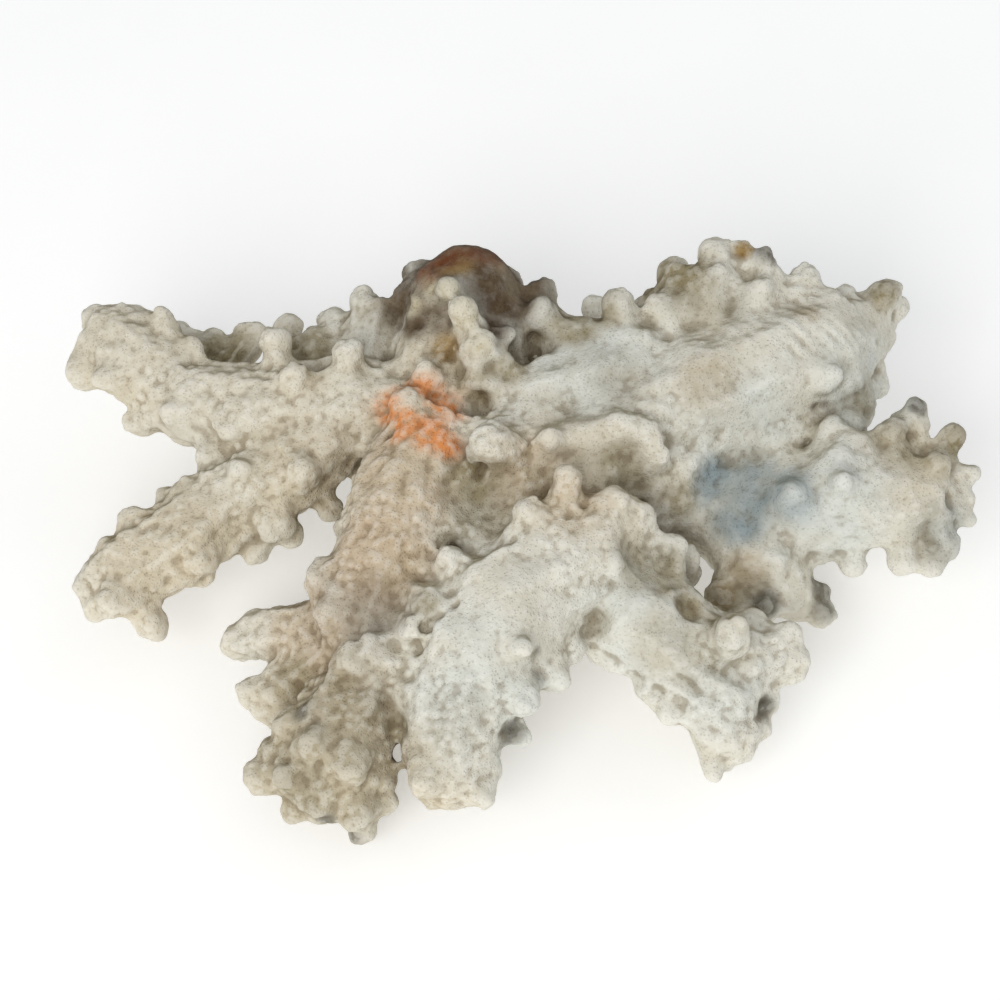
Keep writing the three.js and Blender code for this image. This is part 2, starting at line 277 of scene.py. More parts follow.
HOLLOWS = [  # with a depth in mm in place of the strength
    ("right_branch", (0.2, 0.4, 0.7), 12, 1.8),
    ("right_branch", (0.8, 0.72, 0.84), 3, 2.0),
    ("right_branch", (0.88, 0.54, 0.75), 3, 2.0),
    ("right_branch", (0.9, 0.32, 0.7), 3, 1.8),
    ("trunk", (0.4, 0.33, 0.8), 9, 2.5),
    ("front_left_branch", (0.65, 0.27, 0.8), 9, 1.8),
    ("left_upper_branch", (0.5, 0.67, 0.55), 8, 2.5),
    ("left_upper_branch", (0.74, 0.45, 0.85), 5, 2.5),
    ("front_right_branch", (0.3, 0.67, 0.85), 9, 2.5),
    ("front_right_branch", (0.45, 0.5, 0.75), 4, 2.0),
    ("trunk", (0.37, 0.44, 0.8), 2.2, 2.2),
    ("trunk", (0.09, 0.66, 0.8), 1.8, 3.0),
    ("trunk", (0.37, 0.8, 0.8), 4, 2.5),
    ("trunk", (0.43, 0.95, 0.85), 4, 2.5),
    ("back_branch", (0.1, 0.3, 0.8), 4, 2.0),
    ("front_middle_branch", (0.3, 0.66, 0.9), 2, 2.5),
    ("front_middle_branch", (0.24, 0.62, 0.85), 2, 2.5),
    ("front_middle_branch", (0.18, 0.58, 0.8), 2, 2.5),
    ("front_middle_branch", (0.13, 0.52, 0.7), 2, 2.5),
    ("right_upper_branch", (0.64, 0.22, 0.6), 1.3, 1.0),
    ("right_upper_branch", (0.68, 0.23, 0.59), 1.3, 1.2),
    ("right_upper_branch", (0.72, 0.24, 0.58), 1.3, 1.2),
    ("right_upper_branch", (0.76, 0.25, 0.56), 1.3, 1.2),
    ("right_upper_branch", (0.8, 0.26, 0.54), 1.3, 1.0),
]
STAINS = {  # the marks that each tint of the material covers
    "cream": [
        ("left_upper_branch", (0.2, 0.5, 0.6), 26, 0.5),
        ("left_upper_branch", (0.6, 0.4, 0.6), 26, 0.5),
        ("left_lower_branch", (0.3, 0.3, 0.5), 26, 0.9),
        ("left_lower_branch", (0.75, 0.75, 0.7), 20, 0.8),
        ("front_tip_branch", (0.5, 0.5, 0.5), 26, 0.8),
        ("front_middle_branch", (0.2, 0.05, 0.36), 16, 0.8),
        ("front_right_branch", (0.5, 0.33, 0.67), 16, 0.6),
        ("front_right_branch", (0.67, 0.16, 0.5), 12, 0.6),
        ("right_branch", (0.7, 0.5, 0.8), 16, 0.7),
        ("trunk", (0.1, 0.7, 0.8), 14, 0.8),
        ("back_knob", (0.3, 0.1, 0.6), 14, 0.8),
        ("trunk", (0.7, 0.4, 0.8), 20, 0.6),
    ],
    "pink": [
        ("front_left_branch", (0.75, 0.8, 0.95), 16, 0.8),
        ("front_left_branch", (0.65, 0.5, 0.85), 16, 0.9),
        ("front_left_branch", (0.4, 0.3, 0.5), 16, 0.7),
        ("trunk", (0.5, 0.45, 0.8), 12, 0.5),
        ("trunk", (0.65, 0.3, 0.8), 12, 0.5),
        ("trunk", (0.12, 0.55, 0.85), 12, 0.8),
    ],
    "cool": [
        ("right_upper_branch", (0.35, 0.1, 0.65), 16, 0.8),
        ("right_upper_branch", (0.8, 0.35, 0.6), 16, 0.8),
        ("back_branch", (0.6, 0.2, 0.9), 18, 0.6),
        ("right_branch", (0.5, 0.3, 0.7), 18, 0.8),
        ("front_right_branch", (0.3, 0.4, 0.75), 20, 0.7),
        ("front_right_branch", (0.6, 0.2, 0.6), 16, 0.7),
        ("front_middle_branch", (0.5, 0.3, 0.6), 22, 0.6),
    ],
    # olive staining, and painted shade in troughs and on the sides turned from the key light
    "olive": [
        ("front_tip_branch", (0.5, 0.3, 0.5), 24, 0.45),
        ("front_tip_branch", (0.35, 0.15, 0.45), 10, 0.6),
        ("front_tip_branch", (0.7, 0.5, 0.75), 9, 0.55),
        ("front_middle_branch", (0.36, 0.21, 0.64), 9, 0.25),
        ("front_right_branch", (0.45, 0.4, 0.68), 13, 0.35),
        ("right_branch", (0.73, 0.64, 0.87), 8, 0.6),
        ("right_branch", (0.85, 0.18, 0.59), 9, 0.3),
        ("right_upper_branch", (0.07, 0.82, 0.74), 9, 0.9),
        ("right_upper_branch", (0.17, 0.75, 0.85), 9, 0.75),
        ("right_upper_branch", (0.3, 0.6, 0.85), 7, 0.4),
        ("back_branch", (0.3, 0.64, 0.82), 6, 0.7),
        ("trunk", (0.35, 0.45, 0.74), 8, 0.8),
        ("trunk", (0.36, 0.28, 0.66), 8, 0.6),
        ("left_upper_branch", (0.46, 0.72, 0.55), 9, 1.0),
        ("left_upper_branch", (0.62, 0.66, 0.65), 9, 1.0),
        ("left_upper_branch", (0.38, 0.7, 0.6), 6, 0.7),
        ("left_upper_branch", (0.74, 0.35, 0.9), 5, 0.7),
        ("left_upper_branch", (0.74, 0.65, 0.65), 7, 0.8),
        ("left_upper_branch", (0.9, 0.9, 0.6), 6, 0.7),
        ("front_left_branch", (0.86, 0.24, 0.86), 4, 0.7),
        ("front_left_branch", (0.3, 0.1, 0.35), 7, 0.7),
        ("front_tip_branch", (0.6, 0.72, 0.83), 5, 0.6),
        ("front_middle_branch", (0.05, 0.27, 0.4), 5, 0.7),
        ("front_right_branch", (0.25, 0.67, 0.88), 8, 0.6),
        ("front_right_branch", (0.37, 0.67, 0.8), 8, 0.7),
        ("front_right_branch", (0.45, 0.52, 0.75), 5, 0.9),
        ("right_branch", (0.02, 0.34, 0.67), 5, 0.8),
        ("right_branch", (0.94, 0.7, 0.8), 6, 1.0),
        ("right_branch", (0.86, 0.57, 0.87), 7, 0.7),
        ("right_lower_branch", (0.2, 0.1, 0.6), 6, 0.7),
        ("right_upper_branch", (0.16, 0.8, 0.9), 7, 1.0),
        ("right_upper_branch", (0.07, 0.9, 0.8), 6, 0.9),
        ("right_upper_branch", (0.9, 0.8, 0.78), 6, 0.9),
        ("right_upper_branch", (0.83, 0.3, 0.5), 7, 0.6),
        ("back_branch", (0.5, 0.5, 0.85), 7, 0.8),
        ("back_branch", (0.68, 0.6, 0.9), 6, 0.8),
        ("back_branch", (0.77, 0.05, 0.87), 8, 0.35),
        ("back_branch", (0.27, 0.8, 0.9), 5, 0.6),
        ("back_branch", (0.03, 0.15, 0.8), 6, 0.9),
        ("trunk", (0.38, 0.91, 0.8), 6, 0.8),
        ("trunk", (0.57, 0.39, 0.82), 6, 0.5),
        ("trunk", (0.82, 0.5, 0.75), 7, 0.6),
        ("trunk", (0.4, 0.32, 0.8), 9, 0.8),
    ],
    # a brown stain on the back knob, and painted shade on its right side, in holes and cracks, and in a
    # shadowed patch on the front left branch
    "brown": [
        ("back_knob", (0.3, 0.7, 0.8), 13, 0.95),
        ("back_knob", (0.62, 0.78, 0.8), 14, 1.0),
        ("back_knob", (0.88, 0.6, 0.7), 14, 0.85),
        ("back_knob", (0.1, 0.57, 0.7), 9, 0.9),
        ("back_knob", (0.05, 0.6, 0.57), 9, 0.9),
        ("back_knob", (0.0, 0.85, 0.43), 8, 0.9),
        ("back_knob", (0.14, 0.32, 0.68), 6, 0.9),
        ("back_knob", (0.35, 0.28, 0.75), 6, 0.7),
        ("back_knob", (0.85, 0.5, 0.75), 11, 1.0),
        ("back_knob", (0.93, 0.66, 0.68), 10, 1.0),
        ("back_knob", (0.78, 0.2, 0.72), 6, 0.9),
        ("back_knob", (0.66, 0.53, 0.87), 8, 0.8),
        ("back_knob", (0.5, 0.9, 0.6), 14, 0.9),
        ("front_left_branch", (0.66, 0.27, 0.8), 10, 0.5),
        ("front_left_branch", (0.5, 0.3, 0.6), 14, 0.2),
        ("front_tip_branch", (0.65, 0.7, 0.8), 12, 0.25),
        ("back_knob", (0.6, 0.95, 0.5), 15, 0.8),
        ("trunk", (0.97, 0.42, 0.7), 6, 0.5),
        ("front_left_branch", (0.6, 0.2, 0.65), 8, 0.35),
        ("trunk", (0.37, 0.44, 0.8), 2, 1.0),
        ("trunk", (0.09, 0.66, 0.8), 1.6, 1.0),
        ("right_upper_branch", (0.62, 0.21, 0.61), 1.5, 0.8),
        ("right_upper_branch", (0.66, 0.22, 0.6), 1.5, 0.9),
        ("right_upper_branch", (0.7, 0.23, 0.59), 1.4, 0.8),
        ("right_upper_branch", (0.74, 0.24, 0.57), 1.4, 0.8),
        ("right_upper_branch", (0.78, 0.25, 0.55), 1.5, 0.9),
        ("right_upper_branch", (0.82, 0.26, 0.53), 1.5, 0.8),
    ],
    "pale": [
        ("back_knob", (0.25, 0.48, 0.83), 3, 0.9),
        ("back_knob", (0.41, 0.35, 0.92), 4, 0.9),
        ("back_knob", (0.1, 0.4, 0.72), 3, 0.8),
        ("back_knob", (0.58, 0.1, 1.0), 6, 0.8),
        ("trunk", (0.38, 0.94, 1.0), 5, 0.9),
    ],
    # painted shade on the backs of knobs and tips, in a dark grey
    "grey": [
        ("right_lower_branch", (0.47, 0.1, 0.53), 4.5, 1.0),
        ("right_lower_branch", (0.92, 0.53, 0.35), 4.5, 0.9),
        ("right_lower_branch", (0.93, 0.24, 0.28), 4, 0.8),
        ("front_middle_branch", (0.76, 0.46, 0.75), 2.5, 1.0),
        ("front_middle_branch", (0.61, 0.26, 0.38), 4, 0.9),
        ("front_middle_branch", (0.71, 0.41, 0.58), 3, 0.9),
        ("front_right_branch", (0.8, 0.22, 0.3), 3.5, 1.0),
        ("front_tip_branch", (0.37, 0.62, 0.69), 3, 0.8),
        ("front_tip_branch", (0.52, 0.0, 0.3), 3, 0.8),
        ("front_tip_branch", (0.65, 0.0, 0.1), 4, 0.8),
        ("right_upper_branch", (0.46, 0.88, 0.98), 4, 1.0),
        ("right_branch", (0.81, 0.94, 0.84), 3.5, 1.0),
    ],
    # painted bluish shade in the recess under the back right lobe
    "blue": [
        ("right_branch", (0.23, 0.42, 0.63), 11, 0.85),
        ("right_branch", (0.13, 0.5, 0.6), 8, 0.9),
        ("right_branch", (0.2, 0.28, 0.56), 8, 0.85),
        ("right_branch", (0.36, 0.36, 0.7), 8, 0.7),
        ("right_branch", (0.88, 0.15, 0.6), 10, 0.35),
    ],
    "ochre": [
        ("back_knob", (0.38, 0.07, 0.69), 4.5, 0.9),
        ("back_knob", (0.46, 0.64, 0.87), 5, 0.8),
        ("right_upper_branch", (0.38, 0.91, 0.95), 3, 1.0),
        ("right_upper_branch", (0.59, 0.57, 0.92), 4, 0.5),
        ("right_upper_branch", (0.22, 0.18, 0.88), 8, 0.4),
        ("right_lower_branch", (0.32, 0.46, 0.75), 6, 0.5),
        ("right_lower_branch", (0.13, 0.24, 0.64), 5, 0.5),
    ],
    "rust": [
        ("back_knob", (0.22, 0.62, 0.84), 5, 0.9),
        ("back_knob", (0.36, 0.74, 0.87), 6, 1.0),
        ("back_knob", (0.5, 0.76, 0.92), 6, 1.0),
        ("back_knob", (0.65, 0.78, 0.9), 6, 1.0),
        ("back_knob", (0.8, 0.78, 0.83), 5, 0.9),
    ],
    "orange": [
        ("trunk", (0.11, 0.8, 0.8), 6, 0.9),
        ("trunk", (0.2, 0.87, 0.81), 5.5, 1.0),
        ("trunk", (0.28, 0.78, 0.84), 6, 0.9),
        ("trunk", (0.14, 0.65, 0.85), 5, 0.85),
        ("trunk", (0.22, 0.62, 0.86), 6, 0.9),
        ("trunk", (0.28, 0.57, 0.83), 4.5, 0.9),
    ],
}


# ---------------------------------------------------------------- the rough colony

SWELL = 0.55 * MM  # closes the saw gaps at the forks, and makes up for what facets and smoothing take
CLOSING = 0.85 * MM  # every body is this much fatter until the remesh, so that narrow clefts close
FOOT_DROP = 3 * MM  # the foot runs this far below the cut until the cut is made
FOOT_RIM = 1.5 * MM  # corners lower than this belong to the cut face
BRANCHLET_SIDES = 5
BRANCHLET_EVEN = 1.15  # the spokes at a branchlet's end differ by less than this factor
BRANCHLET_SPOKE = 8 * MM  # and are shorter than this
POINTED = 0.3  # an end stands out from its ring by more than this share of its radius
END_REACH = 1 * MM  # a branchlet's round end is set this much further out, which smoothing takes back
BLUNT_RING = 0.85  # radius of the ring round a branchlet's end, as a share of the radius of the end
KNOB_GAP = 10 * MM
KNOB_RADIUS = (2.8, 4.6)  # mm
KNOB_LENGTH = (0.5, 1.2)  # between a knob's first and last ball, in radii
KNOB_BALLS = (0, 0.5, 1)  # shares of that length
KNOB_SUNK = 0.5  # the first ball's middle lies this many radii below the skin
KNOB_BASE = 1.3  # radius of the first ball, as a share of the knob's
KNOB_TAPER = 0.45  # by which that share falls to the last ball
KNOB_LEAN = 0.8  # how much a knob's direction is drawn away from the middle of the colony
KNOB_CLEARANCE = 7 * MM  # no knob's middle lies closer to a branchlet's end, which stays bare
KNOB_LOWEST = 12 * MM  # height under which the foot has no knobs
KNOB_OVERHANG = -0.35  # upward share of the normal under which a face has no knobs
KNOBS_LEFT_OUT = 0.2  # share of the knobs that are missing anywhere
TOP_LEFT_OUT = 0.8  # share of the knobs that are missing on faces that look straight up
TOP_START, TOP_SPAN = 0.35, 0.5  # upward share of the normal where that sets in, and how much more it takes


def welded(mesh):
    """A CAD mesh's corners, each once, and its triangles."""
    number = {}
    index = [number.setdefault(tuple(round(c, 6) for c in v.co), len(number)) for v in mesh.vertices]
    tris = [[index[i] for i in p.vertices] for p in mesh.polygons]
    return np.array(list(number)), [t for t in tris if len(set(t)) == 3]


def finger_ends(points, tris):
    """The round end that each faceted branchlet stands for, as its middle and radius."""
    around = {}
    for t in tris:
        for i in t:
            around.setdefault(i, set()).update(t)
    ends = []
    for i, ring in around.items():
        ring = list(ring - {i})
        spokes = np.linalg.norm(points[ring] - points[i], axis=1)
        longest = min(BRANCHLET_EVEN * spokes.min(), BRANCHLET_SPOKE)
        if len(ring) != BRANCHLET_SIDES or spokes.max() > longest:
            continue
        middle = points[ring].mean(0)
        radius = np.linalg.norm(points[ring] - middle, axis=1).mean() / BLUNT_RING
        axis = points[i] - middle
        length = np.linalg.norm(axis)
        if length > POINTED * radius:
            ends.append((points[i] + (END_REACH - radius) * axis / length, radius))
    return ends


def ball(centre, radius):
    """A ball, fatter by CLOSING, as corners and faces."""
    solid = bmesh.new()
    bmesh.ops.create_icosphere(solid, subdivisions=2, radius=radius + CLOSING)
    co = [np.array(centre) + np.array(v.co) for v in solid.verts]
    faces = [[v.index for v in f.verts] for f in solid.faces]
    solid.free()
    return co, faces


def bareness(point, normal):
    """How likely a knob is to be missing: more so in the marks of SMOOTH and on faces that look up."""
    smooth = KNOBS_LEFT_OUT + (1 - KNOBS_LEFT_OUT) * marked(point[None], SMOOTH)[0]
    return max(smooth, TOP_LEFT_OUT * smoothstep((normal[2] - TOP_START) / TOP_SPAN))


def knobs(co, normals, ends, rng):
    """Blunt knobs over the branches, leaning outwards, each a tapering run of balls rooted in the branch."""
    bodies = []
    for i in spread_points(co, KNOB_GAP, rng):
        radius = rng.uniform(*KNOB_RADIUS) * MM
        length = rng.uniform(*KNOB_LENGTH) * radius
        bare = rng.random() < bareness(co[i], normals[i])
        crowded = np.linalg.norm(ends - co[i], axis=1).min() < KNOB_CLEARANCE
        underneath = co[i, 2] < KNOB_LOWEST or normals[i, 2] < KNOB_OVERHANG
        if bare or crowded or underneath:
            continue
        direction = normals[i] + KNOB_LEAN * co[i] / np.linalg.norm(co[i])
        direction /= np.linalg.norm(direction)
        for share in KNOB_BALLS:
            centre = co[i] + (share * length - KNOB_SUNK * radius) * direction
            bodies.append(ball(centre, (KNOB_BASE - KNOB_TAPER * share) * radius))
    return bodies


def joined(bodies):
    """Several closed bodies as one list of corners and one of faces."""
    co, faces, count = [], [], 0
    for points, sides in bodies:
        co.append(np.array(points))
        faces += [[i + count for i in f] for f in sides]
        count += len(points)
    return np.concatenate(co), faces


def rough_colony():
    """Every CAD branch swollen until it meets its neighbours, and the middles of the branchlets' ends."""
    bodies, ends = [], []
    for name in NODES:
        points, tris = welded(frame["nodes"][name].data)
        for centre, radius in finger_ends(points, tris):
            bodies.append(ball(centre, radius))
            ends.append(centre)
        swollen = points + (SWELL + CLOSING) * vertex_normals(points, tris)
        swollen[swollen[:, 2] < FOOT_RIM, 2] -= FOOT_DROP
        bodies.append((swollen, tris))
    bodies += [ball(place(node, share), radius * MM) for node, share, radius in FILLED]
    return bodies, np.array(ends)


# ---------------------------------------------------------------- skin

ROUNDING = 1.2  # mm of smoothing that rounds the facets and the joints between bodies
FAIRING = 1.3  # mm of smoothing, without shrinking, once the bodies have their own size again
MELTING = 3.0  # mm of smoothing in the marks of MELTED
SOFTENING = 0.45  # mm of smoothing over the coarse relief
NORMAL_SMOOTHING = 0.6  # mm, for the directions in which the bodies shrink back
RIM = 1.5 * MM  # height above the cut over which the fine relief sets in
CUT_SNAP = 0.4 * VOXEL  # corners lower than this are laid on the cut
COARSE_SMOOTH_SHARE = 0.85  # of the coarse relief, that the marks of SMOOTH take away
FINE_SMOOTH_SHARE = 0.75  # of the fine relief, that the marks of SMOOTH take away
RIDGED_SHARE = 0.8  # of either relief, that the marks of RIDGED take away
RIDGE_PERIOD = 3.6 * MM
RIDGE_HEIGHT = 0.7 * MM
RIDGE_WANDER = 2.2 * MM
LUMP_HEIGHT = 1.1  # mm, of the broadest lumps
LUMP_SIZE, NUB_SIZE = 9 * MM, 4 * MM
NUB_HEIGHTS = (0.25, 0.45)  # mm, everywhere, and what rough skin adds
GRAIN_SIZE, ROUGH_GRAIN_SIZE = 1.6 * MM, 2.8 * MM
GRAIN_HEIGHT, ROUGH_GRAIN_HEIGHT = 0.12 * MM, 0.35 * MM
OUTWARD_LEAN = 0.4  # how much the fine relief leans away from the middle of the colony
PEBBLES = {"gap": 3.8 * MM, "radii": (2.2, 3.2), "heights": (0.15, 0.75), "seed": SEED + 1}
CORALLITES = {"gap": 2.1 * MM, "radii": (1.0, 1.5), "heights": (0.08, 0.36), "seed": SEED + 2}


def remeshed(mesh, voxel):
    """One even, closed skin of quads round everything in a mesh."""
    obj = new_object("remesh", mesh)
    modifier = obj.modifiers.new("remesh", "REMESH")
    modifier.mode = "VOXEL"
    modifier.voxel_size = voxel
    skin = bpy.data.meshes.new_from_object(obj.evaluated_get(bpy.context.evaluated_depsgraph_get()))
    bpy.data.objects.remove(obj)
    return mesh_arrays(skin)


def cut_flat(co, faces):
    """The foot cut off flat at its base."""
    solid = bmesh.new()
    solid.from_mesh(new_mesh("uncut", co, faces))
    everything = solid.verts[:] + solid.edges[:] + solid.faces[:]
    cut = bmesh.ops.bisect_plane(
        solid, geom=everything, plane_co=(0, 0, 0), plane_no=(0, 0, -1), clear_outer=True
    )["geom_cut"]
    bmesh.ops.holes_fill(solid, edges=[g for g in cut if isinstance(g, bmesh.types.BMEdge)])
    bmesh.ops.triangulate(solid, faces=solid.faces[:])
    mesh = bpy.data.meshes.new("cut")
    solid.to_mesh(mesh)
    solid.free()
    return mesh


def clear_of_cut(co):
    """1 away from the cut, falling to 0 at it, so that the cut stays flat and its rim sharp."""
    return smoothstep(co[:, 2] / RIM)


def domes(co, gap, radii, heights, seed):
    """The height of crowded low domes, at least a gap apart, with radii and heights in mm."""
    rng = np.random.default_rng(seed)
    seats = spread_points(co, gap, rng)
    radius = rng.uniform(*radii, len(seats)) * MM
    height = rng.uniform(*heights, len(seats)) * MM
    index, distance = nearest(co[seats], co, 3)
    share = np.clip(1 - (distance / radius[index]) ** 2, 0, 1)
    return (height[index] * share ** 0.75).max(1)


def patchy(co, size, shift):
    """A share from 0 to 1 that comes and goes over the surface, in patches of about the given size."""
    return smoothstep(0.5 + 1.6 * wobble(co, size, shift))


def growth_ridges(co):
    """The height of narrow parallel ridges across the big lobe at the back right."""
    along = (co[:, 0] + co[:, 1]) / math.sqrt(2) + RIDGE_WANDER * wobble(co, 12 * MM)
    wave = 0.5 + 0.5 * np.cos(2 * math.pi * along / RIDGE_PERIOD)
    return RIDGE_HEIGHT * wave ** 1.5 * marked(co, RIDGED) * patchy(co, 7 * MM, 11)


def roughness(co, smooth_share):
    """1 on rough skin, and less in the marks of SMOOTH and RIDGED."""
    return (1 - smooth_share * marked(co, SMOOTH)) * (1 - RIDGED_SHARE * marked(co, RIDGED))


def coarse_relief(co):
    """The height of lumps, pebbles and ridges over the rounded skin, less the depth of the hollows."""
    rough = roughness(co, COARSE_SMOOTH_SHARE)
    nub_height = NUB_HEIGHTS[0] + NUB_HEIGHTS[1] * rough
    lumps = LUMP_HEIGHT * wobble(co, LUMP_SIZE) + nub_height * wobble(co, NUB_SIZE, 7)
    pebbles = domes(co, **PEBBLES) * (0.3 + 0.7 * patchy(co, 11 * MM, 3))
    hollows = np.zeros(len(co))
    for node, share, radius, depth in HOLLOWS:
        hollows += marked(co, [(node, share, radius, 1.0)]) * depth * MM
    rise = lumps * MM + rough * pebbles + growth_ridges(co) - hollows
    rise[co[:, 2] < 0] = 0
    return rise


def fine_relief(co):
    """The height of corallite bumps and grain, which stop at the flat cut."""
    rough = roughness(co, FINE_SMOOTH_SHARE)
    bumps = domes(co, **CORALLITES) * (0.35 + 0.65 * patchy(co, 8 * MM, 5))
    grain = GRAIN_HEIGHT * wobble(co, GRAIN_SIZE, 9)
    rough_grain = ROUGH_GRAIN_HEIGHT * rough * wobble(co, ROUGH_GRAIN_SIZE, 13)
    return (rough * bumps + (grain + rough_grain)) * clear_of_cut(co)


def rounded_colony():
    """The knobby colony before its relief, rounded and no fatter than it should be."""
    bodies, ends = rough_colony()
    co, faces = remeshed(new_mesh("plain", *joined(bodies)), 2 * VOXEL)
    bodies += knobs(co, vertex_normals(co, faces), ends, np.random.default_rng(SEED))
    co, faces = remeshed(new_mesh("knobby", *joined(bodies)), VOXEL)
    edges = edge_array(faces)
    co = relax(co, edges, ROUNDING)
    co -= CLOSING * relax(vertex_normals(co, faces), edges, NORMAL_SMOOTHING)
    co = relax(co, edges, FAIRING, keep_size=True)
    co += marked(co, MELTED)[:, None] * (relax(co, edges, MELTING) - co)
    return co, faces, edges


def colony_skin():
    """The whole colony's closed skin, cut flat below, as corners, quads and edges."""
    co, faces, edges = rounded_colony()
    co = relax(co + coarse_relief(co)[:, None] * vertex_normals(co, faces), edges, SOFTENING)
    co, faces = remeshed(cut_flat(co, faces), VOXEL)
    outward = co / np.linalg.norm(co, axis=1, keepdims=True)
    co = co + fine_relief(co)[:, None] * (vertex_normals(co, faces) + OUTWARD_LEAN * outward)
    co[co[:, 2] < CUT_SNAP, 2] = 0
    return co, np.array(faces), edge_array(faces)


# ---------------------------------------------------------------- masks on the skin

SHELTER_GAP = 2.6 * MM  # between the points that look for shelter
SHELTER_LIFT = 0.8 * MM  # from the skin to where their rays start
SHELTER_REACH = 28 * MM
SHELTER_RAYS = 20
SHELTER_SMOOTHING = 1.1  # mm
CREASE_SMOOTHING = 0.9  # mm
CREASE_DEPTH = 0.16 * MM
HOLLOW_DEPTH = 0.9 * MM


# Ambient occlusion from rays cast over the skin; the material darkens by it as painted shade, with some
# grime.
def sheltered(co, faces, normals, edges):
    """How much of the open air over each point the colony itself shuts out, from 0 to 1."""
    rng = np.random.default_rng(SEED + 3)
    tree = BVHTree.FromPolygons(co.tolist(), faces.tolist())
    seats = spread_points(co, SHELTER_GAP, rng)
    rays = rng.normal(size=(SHELTER_RAYS, 3))
    rays /= np.linalg.norm(rays, axis=1, keepdims=True)
    shut = np.zeros(len(seats))
    for k, i in enumerate(seats):
        start = Vector(co[i] + SHELTER_LIFT * normals[i])
        for ray in rays + normals[i]:
            shut[k] += tree.ray_cast(start, Vector(ray), SHELTER_REACH)[0] is not None
    index, distance = nearest(co[seats], co, 3)
    weight = 1 / (distance + 0.3 * MM)
    share = (shut[index] * weight).sum(1) / weight.sum(1) / SHELTER_RAYS
    return relax(share, edges, SHELTER_SMOOTHING)


def below(co, smooth, normals, full):
    """How far each point lies below a smoothed skin, from -1 on a crest to 1 in a hollow full deep."""
    return np.clip(((smooth - co) * normals).sum(1) / full, -1, 1)


def skin_masks(co, faces, normals, edges, smooth):
    """What the material needs to know at each corner, as values by name."""
    masks = {
        # fine cavities, which the material darkens as painted shade, and crests, which it lightens as
        # painted highlights
        "crease": below(co, relax(co, edges, CREASE_SMOOTHING), normals, CREASE_DEPTH),
        # how deep a point lies below the smoothed skin; the material darkens hollows with it as painted
        # shade
        "hollow": below(co, smooth, normals, HOLLOW_DEPTH),
        "sheltered": sheltered(co, faces, normals, edges),
        # faces that turn towards +y, away from the key light, which the material darkens as painted shade
        "away": smoothstep(0.5 + 0.8 * normals[:, 1] - 0.25 * normals[:, 2]),
    }
    masks.update({tint: marked(co, marks) for tint, marks in STAINS.items()})
    return masks


# ---------------------------------------------------------------- material

def srgb(red, green, blue):
    """A colour on the 0 to 255 screen scale, none of it under 11, as the shader's linear one."""
    return tuple(((c / 255 + 0.055) / 1.055) ** 2.4 for c in (red, green, blue)) + (1,)


WHITE = srgb(228, 225, 212)
WARM_WHITE = srgb(208, 194, 164)
DULL_WHITE = srgb(176, 166, 140)
# painted shade, with some grime, for places that the colony shuts in
SHELTERED_SHADE_AND_DIRT = srgb(150, 134, 102)
# painted olive shade for the faces that turn away from the key light
AWAY_SIDE_SHADE = srgb(158, 148, 114)
# painted shade in hollows
HOLLOW_SHADE = srgb(160, 144, 112)
# painted shade in fine creases
CREASE_SHADE = srgb(150, 128, 96)
# painted highlight on fine crests
CREST_HIGHLIGHT = srgb(240, 236, 224)
# painted shade in the pores
PORE_SHADE = srgb(140, 124, 98)
LACY = 2.2  # raggedness from which a stain's edge has a finer noise
PORE_SIZE = 0.8  # mm
GRAIN_BUMP = 0.35 * MM
PORE_BUMP = 0.25 * MM
TINTS = {  # the colour that each mask lays over the white skeleton, in order, and how ragged its edge is
    "cream": (srgb(214, 202, 178), 0.9),
    "pink": (srgb(204, 182, 153), 0.9),
    "cool": (srgb(217, 221, 216), 0.9),
    # olive: staining, and painted shade in troughs and on the sides turned from the key light
    "olive": (srgb(134, 122, 90), 1.2),
    # brown: stain on the back knob, and painted shade in holes, cracks and shadowed patches
    "brown": (srgb(76, 54, 32), 1.2),
    "pale": (srgb(206, 197, 170), 0.9),
    # grey: painted shade on the backs of knobs and tips
    "grey": (srgb(104, 102, 94), 0.9),
    # blue: painted bluish shade in a recess
    "blue": (srgb(122, 142, 152), 0.7),
    "ochre": (srgb(158, 128, 76), 1.2),
    "rust": (srgb(104, 52, 14), 2.2),
    "orange": (srgb(232, 146, 80), 3.2),
}


